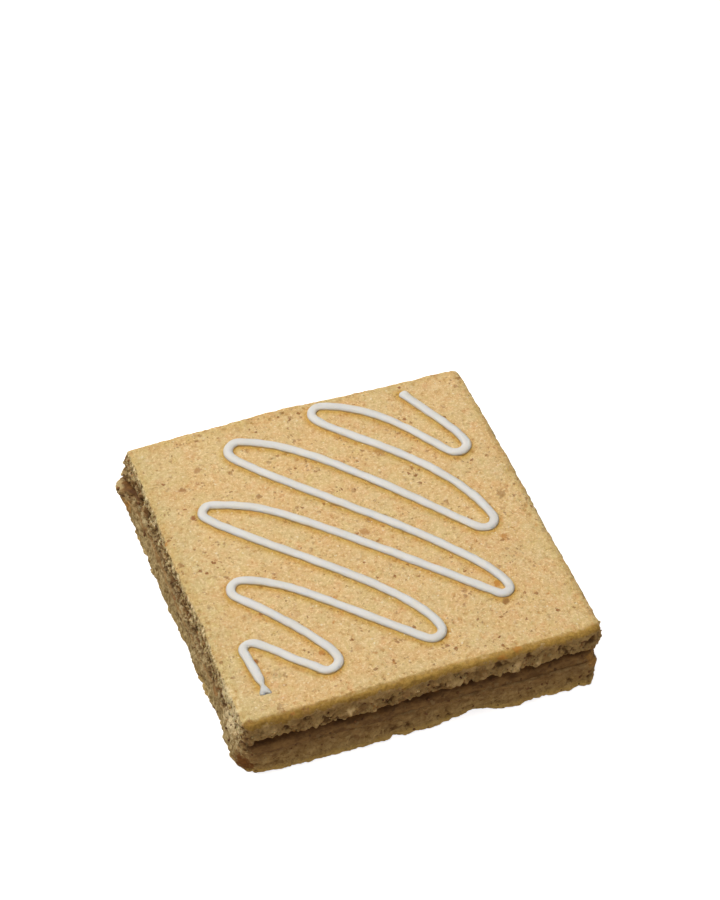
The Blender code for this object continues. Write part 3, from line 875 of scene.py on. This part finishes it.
def ended(left, radius):
    """Rounds off the end of a line that has so much left."""
    return math.sqrt(1.0 - (1.0 - min(left / radius, 1.0)) ** 2 * 0.99)


def line_scale(travel, left, place):
    """Width of the line along its length: a blunt start, a slow unevenness and a torn end."""
    swell = 1.0 + START_SWELL - START_SWELL * min(travel / SWELL_REACH, 1.0)
    neck = 1.0 - NECK_DEPTH * math.exp(-((left - NECK_AT) / NECK_REACH) ** 2)
    uneven = 0.07 * noise.noise(place.to_3d() / 4.0) + 0.08 * noise.noise(place.to_3d() / 1.5)
    return ended(travel, START_ROUND) * swell * (ended(left, TAIL_ROUND) * neck) * (1.0 + uneven)


def flattened(wave, power):
    return math.copysign(abs(wave) ** power, wave)


def bead(mesh, path):
    """Lays a bead of icing along the path, flat-topped and sunk into the face."""
    total = sum((b - a).length for a, b in zip(path, path[1:]))
    travel, rings = 0.0, []
    for k, here in enumerate(path):
        before, after = path[max(k - 1, 0)], path[min(k + 1, len(path) - 1)]
        if k:
            travel += (here - before).length
        flat = (after - before).normalized()
        along, across = Vector((flat.x, flat.y, 0.0)), Vector((-flat.y, flat.x, 0.0))
        size = line_scale(travel, total - travel, here)
        base = Vector((here.x, here.y, TOP_FACE + top_wave(Vector((here.x, here.y, TOP_FACE)))))
        sway = noise.noise(here.to_3d() / SWAY_SIZE + Vector((0, 0, 5)))
        base += across * (BEAD_SWAY * sway)
        torn = max(0.0, 1.0 - (total - travel) / TAIL_REACH)
        flare, thin = 1.0 + TAIL_FLARE * torn * torn, 1.0 - TAIL_THIN * torn
        ring = []
        for side in range(BEAD_SIDES):
            angle = 2 * math.pi * side / BEAD_SIDES
            swing_out = flattened(math.cos(angle), BEAD_SIDE_POWER)
            wide = across * (BEAD_WIDTH / 2 * size * flare * swing_out)
            high = (BEAD_HEIGHT if side < BEAD_SIDES / 2 else BEAD_SUNK) * size * thin
            high *= flattened(math.sin(angle), BEAD_CROWN_POWER)
            split = along * (TAIL_NOTCH * torn * (1.0 - abs(math.cos(angle))))
            ring.append(mesh.verts.new((base + wide - split + Vector((0, 0, high))) * MM))
        rings.append(ring)
    join(mesh, rings)
    mesh.faces.new(reversed(rings[0]))
    mesh.faces.new(rings[-1])


def make_icing():
    mesh = bmesh.new()
    bead(mesh, icing_path())
    bmesh.ops.recalc_face_normals(mesh, faces=mesh.faces)
    piece = placed(mesh, "icing_line")
    piece.data.materials.append(icing_finish())
    return piece


# ---- Loose crumbs and nut bits ----------------------------------------------------------------
CRUMB_COUNT, CRUMB_SIZES = 220, (0.5, 1.3)
NUT_COUNT, NUT_SIZES = 260, (0.3, 0.8)
BIT_SUNK = 0.3                  # share of its size that a bit is sunk into the side
# the relief's level on a bit paints it a little paler, as light on a lump that stands out
BIT_LEVEL = 0.7                 # the relief's level on a bit, which makes it a little paler


def bit(mesh, relief, place, size, seed):
    """One uneven crumb: a small ball, squashed, dented and turned."""
    made = bmesh.ops.create_icosphere(mesh, subdivisions=2, radius=1.0)["verts"]
    squash = Vector((1.0, 0.75 + 0.25 * noise.noise(Vector((seed, 0, 0))), 0.65))
    turn = Vector((noise.noise(Vector((0, seed, 0))), noise.noise(Vector((0, 0, seed))), 0.6))
    spin = turn.normalized().to_track_quat("Z", "Y")
    for vert in made:
        dent = noise.voronoi(vert.co * 0.9 + Vector((seed, seed, seed)))[0][0]
        lump = noise.noise(vert.co * 2.7 + Vector((0, seed, seed)))
        shape = vert.co * (0.7 + 0.6 * dent + 0.3 * lump)
        shape = spin @ Vector(a * b for a, b in zip(shape, squash))
        vert.co = (place + shape * size / 2) * MM
        vert[relief] = BIT_LEVEL


def wall(plan, shape, share, height, rough):
    """A place on a square's side: share runs once round it, from the back right corner."""
    width, depth = plan["width"], plan["depth"]
    run = share % 1.0 * 2 * (width + depth)
    if run < width:
        x, y = width / 2 - run, depth / 2
    elif run < width + depth:
        x, y = -width / 2, depth / 2 - (run - width)
    elif run < 2 * width + depth:
        x, y = run - width - depth - width / 2, -depth / 2
    else:
        x, y = width / 2, run - 2 * width - depth - depth / 2
    flat, away = rounded(plan, x, y)
    place, _ = shape(Vector((flat.x, flat.y, height)), away, rough, 0.0)
    return place, away


def make_bits(name, seed, count, sizes, bands, finish):
    """Scatters bits on the sides. bands lists (plan, shape, low, high, roughness)."""
    draw = random.Random(seed)
    mesh = bmesh.new()
    relief = mesh.verts.layers.float.new("relief")
    for k in range(count):
        plan, shape, low, high, rough = bands[k % len(bands)]
        place, away = wall(plan, shape, draw.random(), draw.uniform(low, high), rough)
        size = sizes[0] + (sizes[1] - sizes[0]) * draw.random() ** 2
        place -= away * size * BIT_SUNK
        place.z = max(place.z, size * 0.5)
        bit(mesh, relief, place, size, seed * 10 + k * 1.7)
    piece = placed(mesh, name)
    piece.data.materials.append(finish)
    return piece


# ---- Floor, light and camera ------------------------------------------------------------------
CAMERA_TURN, CAMERA_RISE = -19.764, 46.014      # degrees, from the corners of the top face
CAMERA_FAR = 543.74                             # millimetres to the middle of the picture
CAMERA_AIM = (0.561, 25.106)                    # that middle, right of and above the plan's
PLAN_SHIFT = (0.6, -0.7, 0.0)                   # from the middle of the top face to the origin
LENS, SENSOR = 120.0, 36.0
CLIP_START, CLIP_END = 0.01, 10.0

FLOOR_SIZE = 3.0
FLOOR_COLOUR, FLOOR_GLOW = (0.62, 0.57, 0.48, 1.0), (0.82, 0.83, 0.86, 1.0)
ROOM_COLOUR, ROOM_STRENGTH = (1.0, 0.90, 0.72, 1.0), 0.12
# Lights: name, place in metres, size, power and colour. All point at the origin.
LIGHTS = (
    ("key", (-0.31, 0.20, 0.68), 0.5, 4.6, (1.0, 0.99, 0.97)),
    ("overhead", (0.05, 0.0, 0.90), 0.8, 3.2, (1.0, 1.0, 1.0)),
    ("fill", (0.10, -0.55, 0.25), 0.5, 0.25, (1.0, 1.0, 1.0)),
)


def make_camera():
    turn, rise = math.radians(CAMERA_TURN), math.radians(CAMERA_RISE)
    flat = math.cos(rise)
    back = Vector((math.sin(turn) * flat, -math.cos(turn) * flat, math.sin(rise)))
    right = Vector((math.cos(turn), math.sin(turn), 0.0))
    up = back.cross(right)
    aim = right * CAMERA_AIM[0] + up * CAMERA_AIM[1] + Vector(PLAN_SHIFT)
    data = bpy.data.cameras.new("camera")
    data.lens, data.sensor_width, data.sensor_fit = LENS, SENSOR, "AUTO"
    data.clip_start, data.clip_end = CLIP_START, CLIP_END
    camera = bpy.data.objects.new("camera", data)
    camera.location = (aim + back * CAMERA_FAR) * MM
    camera.rotation_euler = back.to_track_quat("Z", "Y").to_euler()
    bpy.context.scene.collection.objects.link(camera)
    bpy.context.scene.camera = camera


def area_light(name, place, size, power, colour):
    data = bpy.data.lights.new(name, "AREA")
    data.shape, data.size, data.energy, data.color = "DISK", size, power, colour
    light = bpy.data.objects.new(name, data)
    light.location = place
    light.rotation_euler = Vector(place).to_track_quat("Z", "Y").to_euler()
    bpy.context.scene.collection.objects.link(light)


def make_stage():
    mesh = bmesh.new()
    bmesh.ops.create_grid(mesh, x_segments=1, y_segments=1, size=FLOOR_SIZE)
    floor = placed(mesh, "floor")
    material = bpy.data.materials.new("floor_white")
    material.use_nodes = True
    nodes = material.node_tree.nodes
    shader = nodes["Principled BSDF"]
    shader.inputs["Base Color"].default_value = FLOOR_COLOUR
    shader.inputs["Roughness"].default_value = 0.9
    shader.inputs["Specular IOR Level"].default_value = 0.0
    shader.inputs["Emission Color"].default_value = FLOOR_GLOW
    # the floor looks white without lighting the sides from below
    seen = nodes.new("ShaderNodeLightPath")
    material.node_tree.links.new(seen.outputs["Is Camera Ray"], shader.inputs["Emission Strength"])
    floor.data.materials.append(material)
    world = bpy.data.worlds.new("studio")
    bpy.context.scene.world = world
    world.use_nodes = True
    room = world.node_tree.nodes["Background"]
    room.inputs["Color"].default_value = ROOM_COLOUR
    room.inputs["Strength"].default_value = ROOM_STRENGTH
    for light in LIGHTS:
        area_light(*light)
    bpy.context.scene.view_settings.view_transform = "Standard"


def add_piece(piece, slot, *nodes):
    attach(piece, BODY)
    for node in nodes:
        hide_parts(node)


def main():
    add_piece(make_top(), "shortbread_top", "top_biscuit")
    add_piece(make_icing(), "icing_white", "top_biscuit")
    add_piece(make_filling(), "jam_filling", "filling")
    add_piece(make_base(), "shortbread_base", "bottom_biscuit")
    top_low = (TOP_PLAN, shape_top, TOP_UNDER + 0.2, TOP_UNDER + 1.0, 1.0)
    top_side = (TOP_PLAN, shape_top, TOP_UNDER + 0.5, TOP_FACE - RIM - 0.5, 1.0)
    base_side = (BASE_PLAN, shape_base, 0.5, BASE_TOP, 0.8)
    crease = (FILL_PLAN, shape_fill, BASE_TOP + 0.2, TOP_UNDER - 0.6, 1.0)
    crumb = make_bits("loose_crumbs", CRUMB_SEED, CRUMB_COUNT, CRUMB_SIZES,
                      (top_low, top_side), crumb_bits_finish())
    add_piece(crumb, "shortbread_top")
    nuts = make_bits("nut_bits", NUT_SEED, NUT_COUNT, NUT_SIZES,
                     (top_side, base_side, crease), nut_bits_finish())
    add_piece(nuts, "shortbread_base")
    make_stage()
    make_camera()


main()
